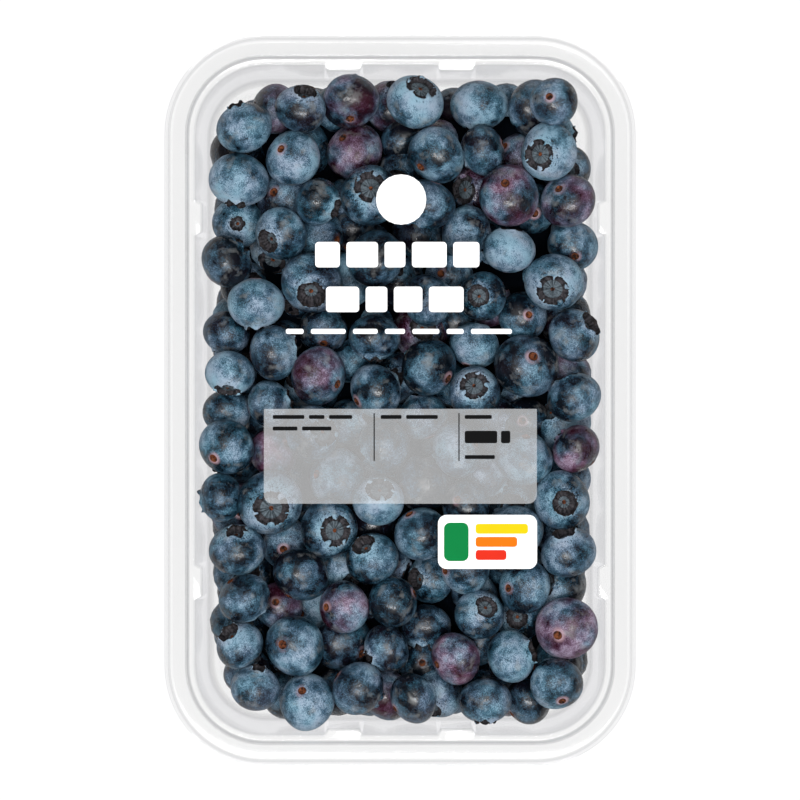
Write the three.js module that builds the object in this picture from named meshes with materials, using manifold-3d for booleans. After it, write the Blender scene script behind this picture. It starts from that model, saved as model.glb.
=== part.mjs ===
// A shut punnet of blueberries: a clear thermoformed tray, a clear film sealed on its flange, and the heap of
// fruit inside. Millimetres, +Z up. The origin is under the middle of the tray, on the surface it stands on.
// X runs across the punnet and Y along it.
import * as THREE from "three";
import { mergeVertices } from "three/addons/utils/BufferGeometryUtils.js";
import Module from "manifold-3d";

const wasm = await Module();
wasm.setup();

// Tray
const WIDTH = 122.5;
const LENGTH = 190;
const FLANGE_TOP = 55.6;
const CORNER_RADIUS = 26;
const CORNER_STEPS = 5;
const WALL_THICKNESS = 0.5;

// The tray's section from the edge of its skirt to the middle of its floor: how far in from the outline, how
// high, and how much of a rib's depth shows there
const LEDGE_TOP = FLANGE_TOP - 2.5;
const PANEL_TOP = 1.9;
const WALL_TOP = { inset: 8.3, z: LEDGE_TOP - 0.5 };
const WALL_FOOT = { inset: 10.6, z: 4.4 };
const TRAY_SECTION = [
  { inset: 0.0, z: FLANGE_TOP - 3.2, rib: 0 },
  { inset: 0.4, z: FLANGE_TOP - 1.3, rib: 0 },
  { inset: 2.1, z: FLANGE_TOP, rib: 0 },
  { inset: 6.0, z: FLANGE_TOP, rib: 0 },
  { inset: 6.8, z: LEDGE_TOP + 0.2, rib: 0 },
  { inset: 7.9, z: LEDGE_TOP, rib: 1 },
  { inset: WALL_TOP.inset, z: WALL_TOP.z, rib: 1 },
  { inset: WALL_FOOT.inset, z: WALL_FOOT.z, rib: 0 },
  { inset: 11.3, z: PANEL_TOP, rib: 0 },
  { inset: 13.4, z: WALL_THICKNESS, rib: 0 },
  { inset: 17.5, z: WALL_THICKNESS, rib: 0 },
  { inset: 19.0, z: PANEL_TOP, rib: 0 },
];

// Two upright ribs stiffen each wall. They stand in from it and fade out towards the floor
const LONG_WALL_RIB = { centre: 47.3, halfLength: 3.75, depth: 1.7 };
const SHORT_WALL_RIB = { centre: 14.7, halfLength: 4.15, depth: 1.45 };
const RIB_CHAMFER = 0.9;

// Film
const FILM_INSET = 1.9;
const FILM_THICKNESS = 0.3;
const SEAL_GAP = 0.1;

// Berries
const SMALLEST_BERRY = 12.7;
const BERRY_SPREAD = 3.3;
const BERRY_FLATNESS = 0.87;
const TOP_BERRY_FACETS = { round: 6, up: 5, swell: 1.06 };
const WALL_BERRY_SWELL = 1.08;

// Heap
const HEAP_CLEARANCE = 0.35;
const HEAP_FLOOR = PANEL_TOP + HEAP_CLEARANCE;
const HEAP_CEILING = FLANGE_TOP - 2.2;
const LAYER_COUNT = 5;
const LAYER_PITCH = 9.4;
const FIRST_LAYER = 9.6;
const BERRY_PITCH = 15.4;
const ROW_SHARE = 0.87;
const START_JITTER = 3.2;
const TOP_START = 50;
const LOW_START = 43;
const ROOM_ROUND_A_TOP_BERRY = 11.5;
const SETTLE_STEPS = 500;
const SETTLE_FALL = 0.1;
const PUSH_SHARE = 0.35;
const HOLD_SHARE = 0.12;
const LOW_WALL_GAP = 1.8;
const LOW_CORNER_GAP = 3.4;
const SEED = 20817;

// The berries that show are modelled, and a core fills the heap behind them
const SHOWN_DEPTH = 10;
const SHOWN_ABOVE = 39;
const CORE_DEPTH = 7;
const CORE_LIFT = 4.5;
const CORE_TOP = 42;

// The berries on top that can be told apart: across, along, width, the way the crown points seen from above in
// degrees from +X, and its lean from upright. A lean over 90 turns the stem's scar up. The last 14 lie lower
const TOP_BERRIES = [
  [-40.2, 70.9, 14.7, 112, 74],
  [-41.8, 57.1, 16.4, 262, 80],
  [-27.8, 62.3, 14.8, 322, 141],
  [-24.9, 75.7, 13.4, 75, 52],
  [-14.0, 77.4, 15.0, 90, 134],
  [3.9, 77.4, 15.4, 65, 48],
  [21.5, 76.4, 15.3, 268, 84],
  [39.4, 75.1, 12.9, 315, 160],
  [39.2, 64.9, 15.1, 197, 30],
  [9.0, 62.2, 15.6, 40, 128],
  [-7.3, 53.7, 16.0, 85, 20],
  [8.6, 50.8, 14.5, 250, 96],
  [27.8, 54.0, 16.5, 290, 152],
  [43.3, 52.9, 14.8, 310, 140],
  [-22.2, 50.6, 12.8, 340, 72],
  [-29.9, 43.3, 14.2, 210, 44],
  [27.5, 39.7, 13.9, 84, 84],
  [-43.7, 34.7, 14.6, 44, 86],
  [-6.5, 36.8, 15.0, 315, 158],
  [-22.6, 30.7, 16.6, 270, 27],
  [39.3, 30.9, 15.6, 263, 22],
  [21.3, 27.1, 12.9, 180, 12],
  [-38.7, 25.4, 15.0, 270, 92],
  [7.0, 25.4, 14.0, 20, 110],
  [45.2, 16.9, 14.5, 35, 64],
  [-7.3, 15.6, 13.6, 265, 80],
  [-32.4, 12.8, 14.7, 10, 90],
  [33.1, 9.6, 17.0, 235, 156],
  [7.4, 8.6, 15.6, 150, 120],
  [-22.4, 6.1, 15.5, 158, 124],
  [-43.7, 6.9, 13.3, 262, 70],
  [19.7, 2.1, 13.7, 95, 18],
  [44.9, 0.5, 14.4, 110, 88],
  [-6.0, 2.0, 14.8, 30, 116],
  [-44.9, -12.7, 14.8, 42, 136],
  [15.6, -13.2, 14.2, 200, 118],
  [44.9, -13.2, 13.4, 140, 96],
  [-37.1, -26.7, 17.1, 280, 15],
  [-6.7, -25.8, 13.8, 82, 36],
  [41.5, -26.5, 15.3, 320, 9],
  [-17.2, -34.6, 15.5, 343, 19],
  [4.6, -34.4, 14.9, 300, 112],
  [43.6, -38.7, 14.6, 104, 62],
  [-41.2, -39.4, 15.0, 92, 56],
  [-25.0, -44.9, 15.2, 60, 100],
  [-6.4, -42.7, 14.2, 122, 46],
  [16.9, -45.9, 14.2, 10, 124],
  [32.4, -48.4, 14.4, 5, 134],
  [19.7, -54.0, 13.4, 48, 34],
  [-2.4, -51.4, 14.0, 200, 104],
  [-15.3, -55.5, 14.2, 0, 130],
  [43.3, -59.0, 16.4, 36, 153],
  [-41.6, -63.3, 12.9, 130, 54],
  [-27.5, -64.0, 16.1, 354, 152],
  [-4.0, -63.9, 13.2, 214, 76],
  [14.8, -65.6, 14.1, 20, 118],
  [28.7, -66.6, 14.2, 15, 78],
  [40.5, -73.5, 14.2, 107, 130],
  [-37.6, -74.2, 13.2, 80, 68],
  [-23.7, -78.6, 15.3, 290, 150],
  [-10.9, -75.2, 14.6, 330, 98],
  [3.7, -77.5, 13.8, 30, 104],
  [22.4, -78.2, 14.1, 270, 82],
  [-12.7, 65.6, 15.0, 312, 132],
  [22.1, 63.8, 13.3, 200, 100],
  [45.1, 40.3, 13.4, 100, 152],
  [31.4, 21.5, 13.2, 190, 162],
  [19.2, 14.2, 13.4, 70, 108],
  [-44.6, 18.3, 12.8, 250, 94],
  [-33.9, -1.1, 13.0, 15, 84],
  [-44.7, -2.9, 12.9, 280, 60],
  [-33.7, -14.3, 13.4, 210, 130],
  [-46.0, -25.6, 12.8, 190, 100],
  [-40.7, -50.8, 14.0, 310, 106],
  [6.0, -59.7, 14.0, 265, 70],
  [32.6, -78.0, 13.0, 40, 104],
  [-31.9, 74.4, 13.2, 350, 112],
];
const LOWER_TOP_BERRIES = 14;

// A repeatable draw between 0 and 1, by the minimal standard generator
function makeDraw(seed) {
  let state = seed;
  return () => {
    state = (state * 16807) % 2147483647;
    return state / 2147483647;
  };
}

function clamp(value, low, high) {
  return Math.min(Math.max(value, low), high);
}

// The way a berry's crown points
function crownAxis(heading, lean) {
  const [h, l] = [THREE.MathUtils.degToRad(heading), THREE.MathUtils.degToRad(lean)];
  return [Math.sin(l) * Math.cos(h), Math.sin(l) * Math.sin(h), Math.cos(l)];
}

// How far a flattened berry reaches from its middle in a direction of length 1
function reach(berry, x, y, z) {
  const along = berry.axis[0] * x + berry.axis[1] * y + berry.axis[2] * z;
  return (berry.width / 2) * Math.sqrt(1 - (1 - BERRY_FLATNESS ** 2) * along * along);
}

// How far up the wall a height is, from 0 at its foot to 1 at its top
function wallShare(z) {
  return clamp((z - WALL_FOOT.z) / (WALL_TOP.z - WALL_FOOT.z), 0, 1);
}

// How far in from the outline the wall's inner face is at a height
function wallInset(z) {
  return WALL_FOOT.inset + (WALL_TOP.inset - WALL_FOOT.inset) * wallShare(z);
}

// How far the nearest rib holds a berry off its wall
function ribPush(rib, along, z, radius) {
  const soft = 0.6 * radius;
  const share = clamp((rib.halfLength + soft - Math.abs(Math.abs(along) - rib.centre)) / soft, 0, 1);
  return rib.depth * share * wallShare(z);
}

// Moves a berry back inside the walls, floor and film. Those under the top ones stand off the walls and corners
function keepInside(berry) {
  const [reachX, reachY, reachZ] = [reach(berry, 1, 0, 0), reach(berry, 0, 1, 0), reach(berry, 0, 0, 1)];
  berry.z = clamp(berry.z, HEAP_FLOOR + reachZ, HEAP_CEILING - reachZ);
  const inset = wallInset(berry.z) + HEAP_CLEARANCE + (berry.home ? 0 : LOW_WALL_GAP);
  const halfX = WIDTH / 2 - inset - ribPush(LONG_WALL_RIB, berry.y, berry.z, reachY);
  const halfY = LENGTH / 2 - inset - ribPush(SHORT_WALL_RIB, berry.x, berry.z, reachX);
  berry.x = clamp(berry.x, reachX - halfX, halfX - reachX);
  berry.y = clamp(berry.y, reachY - halfY, halfY - reachY);
  const [cornerX, cornerY] = [WIDTH / 2 - CORNER_RADIUS, LENGTH / 2 - CORNER_RADIUS];
  const [overX, overY] = [Math.abs(berry.x) - cornerX, Math.abs(berry.y) - cornerY];
  if (overX <= 0 || overY <= 0) return;
  const [signX, signY] = [Math.sign(berry.x), Math.sign(berry.y)];
  const out = Math.sqrt(overX * overX + overY * overY);
  const room = CORNER_RADIUS - inset - (berry.home ? 0 : LOW_CORNER_GAP);
  const limit = room - reach(berry, (signX * overX) / out, (signY * overY) / out, 0);
  if (out <= limit) return;
  berry.x = signX * (cornerX + (overX * limit) / out);
  berry.y = signY * (cornerY + (overY * limit) / out);
}

// The berries before they settle: those on top where they show, and staggered layers below and between them
function startHeap() {
  const draw = makeDraw(SEED);
  const heap = TOP_BERRIES.map(([x, y, width, heading, lean], i) => {
    const z = i < TOP_BERRIES.length - LOWER_TOP_BERRIES ? TOP_START : LOW_START;
    return { x, y, z, width, axis: crownAxis(heading, lean), home: { x, y } };
  });
  const topBerries = heap.slice();
  const rowPitch = BERRY_PITCH * ROW_SHARE;
  const columns = Math.floor(WIDTH / BERRY_PITCH / 2);
  const rows = Math.floor(LENGTH / rowPitch / 2);
  for (let layer = 0; layer < LAYER_COUNT; layer++) {
    const z = FIRST_LAYER + layer * LAYER_PITCH;
    for (let row = -rows; row <= rows; row++) {
      for (let column = -columns; column <= columns; column++) {
        const stagger = (row + layer) % 2 === 0 ? 0.25 : -0.25;
        const x = (column + stagger) * BERRY_PITCH + (draw() - 0.5) * START_JITTER;
        const y = (row + (layer % 2) / 3) * rowPitch + (draw() - 0.5) * START_JITTER;
        const width = SMALLEST_BERRY + BERRY_SPREAD * draw();
        const axis = crownAxis(360 * draw(), 180 * draw());
        const inset = wallInset(z) + width / 3;
        const outside = Math.abs(x) > WIDTH / 2 - inset || Math.abs(y) > LENGTH / 2 - inset;
        const crowded = topBerries.some((top) => {
          const gap = Math.sqrt((top.x - x) * (top.x - x) + (top.y - y) * (top.y - y));
          return top.z - z < LAYER_PITCH && gap < ROOM_ROUND_A_TOP_BERRY;
        });
        if (!outside && !crowded) heap.push({ x, y, z, width, axis, home: null });
      }
    }
  }
  return heap;
}

// Adds to two berries' moves what pushes them apart where they overlap
function pushApart(a, b, moveA, moveB) {
  const [x, y, z] = [a.x - b.x, a.y - b.y, a.z - b.z];
  const apart = Math.sqrt(x * x + y * y + z * z);
  if (apart >= (a.width + b.width) / 2) return;
  const [nx, ny, nz] = [x / apart, y / apart, z / apart];
  const overlap = reach(a, nx, ny, nz) + reach(b, nx, ny, nz) - apart;
  if (overlap <= 0) return;
  [nx, ny, nz].forEach((direction, i) => {
    moveA[i] += PUSH_SHARE * overlap * direction;
    moveB[i] -= PUSH_SHARE * overlap * direction;
  });
}

// Lets the berries sink, and pushes apart those that overlap. Those with a home are held near it
function settle(heap) {
  for (let step = 0; step < SETTLE_STEPS; step++) {
    const fall = SETTLE_FALL * (1 - step / SETTLE_STEPS);
    const moves = heap.map(() => [0, 0, -fall]);
    for (let i = 0; i < heap.length; i++) {
      for (let j = i + 1; j < heap.length; j++) {
        pushApart(heap[i], heap[j], moves[i], moves[j]);
      }
    }
    heap.forEach((berry, i) => {
      berry.x += moves[i][0];
      berry.y += moves[i][1];
      berry.z += moves[i][2];
      if (berry.home) {
        berry.x += HOLD_SHARE * (berry.home.x - berry.x);
        berry.y += HOLD_SHARE * (berry.home.y - berry.y);
      }
      keepInside(berry);
    });
  }
  return heap;
}

// True for a berry that shows through the film, the walls or the floor
function shows(berry) {
  const inset = wallInset(berry.z) + SHOWN_DEPTH;
  const byWall = Math.abs(berry.x) > WIDTH / 2 - inset || Math.abs(berry.y) > LENGTH / 2 - inset;
  return byWall || berry.z < HEAP_FLOOR + SHOWN_DEPTH || berry.z > SHOWN_ABOVE;
}

// One level outline of the tray, anticlockwise, with the ribs standing in by a share of their depth
function outline(inset, ribShare) {
  const points = [];
  for (let side = 0; side < 4; side++) {
    const isLong = side % 2 === 0;
    const rib = isLong ? LONG_WALL_RIB : SHORT_WALL_RIB;
    const out = (isLong ? WIDTH : LENGTH) / 2;
    const straight = (isLong ? LENGTH : WIDTH) / 2 - CORNER_RADIUS;
    const angleOfSide = (side * Math.PI) / 2;
    const [c, s] = [Math.round(Math.cos(angleOfSide)), Math.round(Math.sin(angleOfSide))];
    const place = (away, along) => points.push([away * c - along * s, away * s + along * c]);
    const ribCorners = [
      [-rib.halfLength - RIB_CHAMFER, 0],
      [-rib.halfLength, rib.depth * ribShare],
      [rib.halfLength, rib.depth * ribShare],
      [rib.halfLength + RIB_CHAMFER, 0],
    ];
    for (const middle of [-rib.centre, rib.centre]) {
      for (const [along, depth] of ribCorners) place(out - inset - depth, middle + along);
    }
    for (let k = 0; k <= CORNER_STEPS; k++) {
      const angle = ((k / CORNER_STEPS) * Math.PI) / 2;
      const radius = CORNER_RADIUS - inset;
      place(out - CORNER_RADIUS + radius * Math.cos(angle), straight + radius * Math.sin(angle));
    }
  }
  return points;
}

// A closed mesh skinned over outlines of the tray, capped level at the first and the last
function loft(levels) {
  const rings = levels.map(({ inset, z, rib }) => outline(inset, rib).map(([x, y]) => [x, y, z]));
  const count = rings[0].length;
  const positions = rings.flat(2);
  const faces = [];
  for (let r = 0; r + 1 < rings.length; r++) {
    for (let i = 0; i < count; i++) {
      const next = (i + 1) % count;
      const [a, b, c, d] = [r * count + i, r * count + next, (r + 1) * count + next, (r + 1) * count + i];
      faces.push(a, b, c, a, c, d);
    }
  }
  const last = (rings.length - 1) * count;
  const [firstMiddle, lastMiddle] = [rings.length * count, rings.length * count + 1];
  positions.push(0, 0, levels[0].z, 0, 0, levels[levels.length - 1].z);
  for (let i = 0; i < count; i++) {
    const next = (i + 1) % count;
    faces.push(firstMiddle, next, i, lastMiddle, last + i, last + next);
  }
  const geometry = new THREE.BufferGeometry();
  geometry.setAttribute("position", new THREE.Float32BufferAttribute(positions, 3));
  geometry.setIndex(faces);
  return geometry;
}

// The section's underside, a wall's thickness square below each of its corners
function underside(section) {
  return section.map((corner, i) => {
    const neighbours = [section[i - 1], section[i + 1]].filter(Boolean);
    const directions = neighbours.map((neighbour) => {
      const forward = section.indexOf(neighbour) > i ? 1 : -1;
      const [run, rise] = [neighbour.inset - corner.inset, neighbour.z - corner.z];
      return new THREE.Vector2(run, rise).multiplyScalar(forward).normalize();
    });
    const along = directions.reduce((sum, direction) => sum.clone().add(direction)).normalize();
    const thickness = WALL_THICKNESS / Math.max(along.dot(directions[0]), 0.6);
    return { ...corner, inset: corner.inset + along.y * thickness, z: corner.z - along.x * thickness };
  });
}

function trayGeometry() {
  return loft([...underside(TRAY_SECTION).reverse(), ...TRAY_SECTION]);
}

// The room for the heap, clear of the tray and the film
function cavityGeometry() {
  const top = WALL_TOP.inset + HEAP_CLEARANCE;
  return loft([
    { inset: WALL_FOOT.inset + HEAP_CLEARANCE + 0.7, z: HEAP_FLOOR, rib: 0 },
    { inset: WALL_FOOT.inset + HEAP_CLEARANCE, z: WALL_FOOT.z, rib: 0 },
    { inset: top, z: WALL_TOP.z, rib: 1 },
    { inset: top, z: HEAP_CEILING, rib: 1 },
  ]);
}

// The middle of the heap, behind the berries that show
function coreGeometry() {
  return loft([
    { inset: WALL_FOOT.inset + CORE_DEPTH, z: HEAP_FLOOR + CORE_LIFT, rib: 0 },
    { inset: wallInset(CORE_TOP) + CORE_DEPTH, z: CORE_TOP, rib: 0 },
  ]);
}

// A flattened ball of few faces, swollen towards the volume of the round one. Those on top are finer
function berryGeometry({ x, y, z, width, axis, home }) {
  const { round, up, swell } = TOP_BERRY_FACETS;
  const ball = home ? new THREE.SphereGeometry(1, round, up) : new THREE.IcosahedronGeometry(1, 0);
  const radius = (width / 2) * (home ? swell : WALL_BERRY_SWELL);
  const geometry = ball.scale(radius, radius, radius * BERRY_FLATNESS);
  const turn = new THREE.Quaternion().setFromUnitVectors(new THREE.Vector3(0, 0, 1), new THREE.Vector3(...axis));
  return geometry.applyQuaternion(turn).translate(x, y, z);
}

function toManifold(geometry) {
  geometry.deleteAttribute("normal");
  geometry.deleteAttribute("uv");
  const merged = mergeVertices(geometry, 1e-3);
  const vertProperties = new Float32Array(merged.attributes.position.array);
  const triVerts = new Uint32Array(merged.index.array);
  return new wasm.Manifold(new wasm.Mesh({ numProp: 3, vertProperties, triVerts }));
}

function fromManifold(solid) {
  const { vertProperties, triVerts } = solid.getMesh();
  const geometry = new THREE.BufferGeometry();
  geometry.setAttribute("position", new THREE.BufferAttribute(vertProperties, 3));
  geometry.setIndex(new THREE.BufferAttribute(triVerts, 1));
  return geometry;
}

// The core with the berries that show fused on, kept clear of the tray, without loose scraps
function heapGeometry() {
  const core = toManifold(coreGeometry());
  const berries = settle(startHeap()).filter(shows);
  const fused = berries.reduce((heap, berry) => heap.add(toManifold(berryGeometry(berry))), core);
  const pieces = fused.intersect(toManifold(cavityGeometry())).decompose();
  return fromManifold(pieces.reduce((a, b) => (a.volume() > b.volume() ? a : b)));
}

function filmGeometry() {
  const radius = CORNER_RADIUS - FILM_INSET;
  const [x, y] = [WIDTH / 2 - CORNER_RADIUS, LENGTH / 2 - CORNER_RADIUS];
  const sheet = new THREE.Shape();
  sheet.absarc(x, y, radius, 0, Math.PI / 2);
  sheet.absarc(-x, y, radius, Math.PI / 2, Math.PI);
  sheet.absarc(-x, -y, radius, Math.PI, 1.5 * Math.PI);
  sheet.absarc(x, -y, radius, 1.5 * Math.PI, 2 * Math.PI);
  const options = { depth: FILM_THICKNESS, bevelEnabled: false, curveSegments: CORNER_STEPS };
  return new THREE.ExtrudeGeometry(sheet, options).translate(0, 0, FLANGE_TOP + SEAL_GAP);
}

function part(name, geometry, material) {
  const mesh = new THREE.Mesh(geometry, material);
  mesh.name = name;
  return mesh;
}

const clearTray = new THREE.MeshStandardMaterial({ color: 0xeff1f2, roughness: 0.12, metalness: 0 });
const clearFilm = new THREE.MeshStandardMaterial({ color: 0xf4f6f7, roughness: 0.08, metalness: 0 });
const berrySkin = new THREE.MeshStandardMaterial({ color: 0x4d6172, roughness: 0.6, metalness: 0 });

const punnet = new THREE.Group();
punnet.add(part("tray", trayGeometry(), clearTray));
punnet.add(part("berries", heapGeometry(), berrySkin));
punnet.add(part("lid_film", filmGeometry(), clearFilm));

export default punnet;
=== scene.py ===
"""Dresses a shut punnet of blueberries: its clear tray, its clear film with the print, and the heap of fruit.

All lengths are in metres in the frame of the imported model: X across the punnet, Y along it, Z up, and the
origin under the middle of the tray. The berries settle by the same rule as the heap's solid.
"""

import logging
import math
from collections.abc import Callable, Iterator
from contextlib import contextmanager
from dataclasses import dataclass, field, replace
from enum import Enum, IntEnum

import bmesh
import bpy
import numpy as np
from mathutils import Matrix, Vector


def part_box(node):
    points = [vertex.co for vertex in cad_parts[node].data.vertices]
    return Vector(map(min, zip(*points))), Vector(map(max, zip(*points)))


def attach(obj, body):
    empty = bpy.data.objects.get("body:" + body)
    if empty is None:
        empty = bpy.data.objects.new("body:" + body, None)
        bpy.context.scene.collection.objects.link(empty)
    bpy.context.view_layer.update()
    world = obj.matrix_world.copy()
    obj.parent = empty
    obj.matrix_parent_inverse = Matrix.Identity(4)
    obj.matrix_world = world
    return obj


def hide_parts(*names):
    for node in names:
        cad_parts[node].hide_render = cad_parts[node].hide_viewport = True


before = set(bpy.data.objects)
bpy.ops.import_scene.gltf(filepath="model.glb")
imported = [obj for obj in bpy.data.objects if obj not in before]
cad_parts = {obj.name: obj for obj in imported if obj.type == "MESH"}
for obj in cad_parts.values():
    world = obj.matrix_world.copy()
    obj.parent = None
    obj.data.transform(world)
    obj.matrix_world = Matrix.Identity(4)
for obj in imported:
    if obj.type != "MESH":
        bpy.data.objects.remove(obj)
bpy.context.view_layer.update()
LOG = logging.getLogger("punnet")
MM = 0.001
UP = Vector((0.0, 0.0, 1.0))
Array = np.ndarray
Random = np.random.Generator
Colour = tuple[float, float, float, float]
Material = bpy.types.Material
Piece = bpy.types.Object
Socket = bpy.types.NodeSocket
# A range of a value, and the range that it is mapped to
Span = tuple[float, float, float, float]
# How strongly relief shows, from 0 to 1, and its depth in millimetres
Relief = tuple[float, float]


def srgb(red: int, green: int, blue: int) -> Colour:
    """Turns a colour as a screen shows it into the linear colour that shaders take.

    Args:
        red: Red from 0 to 255.
        green: Green from 0 to 255.
        blue: Blue from 0 to 255.

    Returns:
        The linear colour, with an alpha of 1.
    """
    shares = [channel / 255 for channel in (red, green, blue)]
    linear = [c / 12.92 if c <= 0.04045 else ((c + 0.055) / 1.055) ** 2.4 for c in shares]
    return (linear[0], linear[1], linear[2], 1.0)


def deselect_all() -> None:
    """Deselects every object."""
    bpy.ops.object.select_all(action="DESELECT")


def make_active(piece: Piece) -> None:
    """Selects one object alone and makes it the active one."""
    deselect_all()
    piece.select_set(True)
    bpy.context.view_layer.objects.active = piece


@contextmanager
def editing(piece: Piece) -> Iterator[None]:
    """Opens a piece in edit mode, with all of it selected, until the block ends."""
    make_active(piece)
    bpy.ops.object.mode_set(mode="EDIT")
    bpy.ops.mesh.select_mode(type="VERT")
    bpy.ops.mesh.select_all(action="SELECT")
    yield
    bpy.ops.object.mode_set(mode="OBJECT")


def pick_vertices(piece: Piece, wanted: Callable[[Vector], bool]) -> None:
    """Selects the vertices that a test of their place passes, and no others.

    Args:
        piece: The mesh object, in edit mode.
        wanted: Says whether a vertex at a place is selected.
    """
    bpy.ops.mesh.select_mode(type="VERT")
    bpy.ops.mesh.select_all(action="DESELECT")
    mesh = bmesh.from_edit_mesh(piece.data)
    for vertex in mesh.verts:
        vertex.select = wanted(vertex.co)
    mesh.select_flush(True)
    bmesh.update_edit_mesh(piece.data)


def apply_transform() -> None:
    """Puts the active piece's place, turn and size into its mesh."""
    bpy.ops.object.transform_apply(location=True, rotation=True, scale=True)


def apply_modifiers(piece: Piece) -> None:
    """Applies all of a piece's modifiers in order."""
    make_active(piece)
    for name in [modifier.name for modifier in piece.modifiers]:
        bpy.ops.object.modifier_apply(modifier=name)


def finish_piece(piece: Piece, name: str, materials: list[Material]) -> None:
    """Names a piece, puts its place into its mesh, gives it materials and lets it ride on the one body.

    Args:
        piece: The finished mesh object.
        name: The piece's name.
        materials: Its materials, in the order of its faces' indices.
    """
    make_active(piece)
    apply_transform()
    piece.name = name
    piece.data.name = name
    if not piece.data.materials:
        for material in materials:
            piece.data.materials.append(material)
    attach(piece, "root")
    LOG.info("%s: %d faces", name, len(piece.data.polygons))


@dataclass(frozen=True)
class NoiseLayer:
    """A layer of noise: its scale, its detail, and the span of it that counts with what this becomes."""

    scale: float
    detail: float
    span: Span


class Shader:
    """The nodes of a material or a world, added one after another."""

    def __init__(self, owner: Material | bpy.types.World) -> None:
        """Clears the owner's nodes and adds its output.

        Args:
            owner: The material or the world.
        """
        self.owner = owner
        owner.use_nodes = True
        self.tree = owner.node_tree
        self.tree.nodes.clear()
        kind = "World" if isinstance(owner, bpy.types.World) else "Material"
        self.output = self.tree.nodes.new(f"ShaderNodeOutput{kind}")

    def node(self, kind: str, inputs: dict | None = None, **settings: object) -> bpy.types.Node:
        """Adds a node.

        Args:
            kind: The node's type, without the word ShaderNode before it.
            inputs: Values or other nodes' sockets, by the input's name or number.
            settings: The node's own settings.

        Returns:
            The node.
        """
        made = self.tree.nodes.new(f"ShaderNode{kind}")
        for key, value in settings.items():
            setattr(made, key, value)
        for key, value in (inputs or {}).items():
            if isinstance(value, Socket):
                self.tree.links.new(value, made.inputs[key])
            else:
                made.inputs[key].default_value = value
        return made

    def attribute(self, name: str, output: str = "Fac") -> Socket:
        """Reads one of the mesh's own attributes."""
        return self.node("Attribute", attribute_name=name).outputs[output]

    def object_place(self) -> Socket:
        """The place in the object's own space."""
        return self.node("TexCoord").outputs["Object"]

    def noise(self, place: Socket, scale: float, detail: float = 2.0) -> Socket:
        """Adds noise at a place, as a value about a half."""
        inputs = {"Vector": place, "Scale": scale, "Detail": detail, "Roughness": 0.55}
        return self.node("TexNoise", inputs).outputs["Fac"]

    def spread(self, value: Socket, low: float, high: float, to_low: float, to_high: float) -> Socket:
        """Maps a range of a value to another, held at both ends."""
        inputs = {"Value": value, "From Min": low, "From Max": high, "To Min": to_low, "To Max": to_high}
        return self.node("MapRange", inputs, clamp=True).outputs["Result"]

    def layer(self, place: Socket, layer: NoiseLayer) -> Socket:
        """Adds a layer of noise at a place."""
        return self.spread(self.noise(place, layer.scale, layer.detail), *layer.span)

    def flat(self, operation: str) -> bpy.types.Node:
        """Puts the place on the unit berry, flattened along its axis, through a vector operation."""
        inputs = {0: self.attribute("berry_unit", "Vector"), 1: (1, 1, 0)}
        flat = self.node("VectorMath", inputs, operation="MULTIPLY").outputs[0]
        return self.node("VectorMath", {0: flat}, operation=operation)

    def spoke(self) -> Socket:
        """The direction on the unit berry out from its axis."""
        return self.flat("NORMALIZE").outputs[0]

    def axis_distance(self) -> Socket:
        """The distance on the unit berry from its axis."""
        return self.flat("LENGTH").outputs["Value"]

    def axis_height(self) -> Socket:
        """The height on the unit berry along its axis."""
        return self.node("SeparateXYZ", {0: self.attribute("berry_unit", "Vector")}).outputs["Z"]

    def maths(self, operation: str, first: object, second: object) -> Socket:
        """Works out one value from two."""
        return self.node("Math", {0: first, 1: second}, operation=operation).outputs[0]

    def blend(self, share: object, first: object, second: object) -> Socket:
        """Blends two colours by a share of the second."""
        return self.node("Mix", {"Factor": share, 6: first, 7: second}, data_type="RGBA").outputs[2]

    def ramp(self, share: Socket, positions: tuple[float, ...], colours: tuple[Colour, ...]) -> Socket:
        """Picks a colour along a row of positions, two or more."""
        made = self.node("ValToRGB", {0: share})
        elements = made.color_ramp.elements
        for index, (position, colour) in enumerate(zip(positions, colours)):
            element = elements[index] if index < 2 else elements.new(position)
            element.position, element.color = position, colour
        return made.outputs["Color"]

    def bump(self, height: Socket, strength: float, depth: float, below: Socket | None = None) -> Socket:
        """Adds relief.

        Args:
            height: The relief's height, from 0 to 1.
            strength: How strongly it shows, from 0 to 1.
            depth: Its depth in millimetres.
            below: The normal that it lies on, or None for the mesh's own.

        Returns:
            The normal.
        """
        inputs = {"Height": height, "Strength": strength, "Distance": depth * MM}
        if below is not None:
            inputs["Normal"] = below
        return self.node("Bump", inputs).outputs[0]

    def surface(self, shader: bpy.types.Node) -> Material | bpy.types.World:
        """Shows a shader node, and returns the material or world that is done with it."""
        self.tree.links.new(shader.outputs[0], self.output.inputs["Surface"])
        return self.owner

    def principled(self, inputs: dict) -> Material:
        """Shows a principled shader with some inputs of its own, and returns the material."""
        return self.surface(self.node("BsdfPrincipled", inputs))


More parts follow.
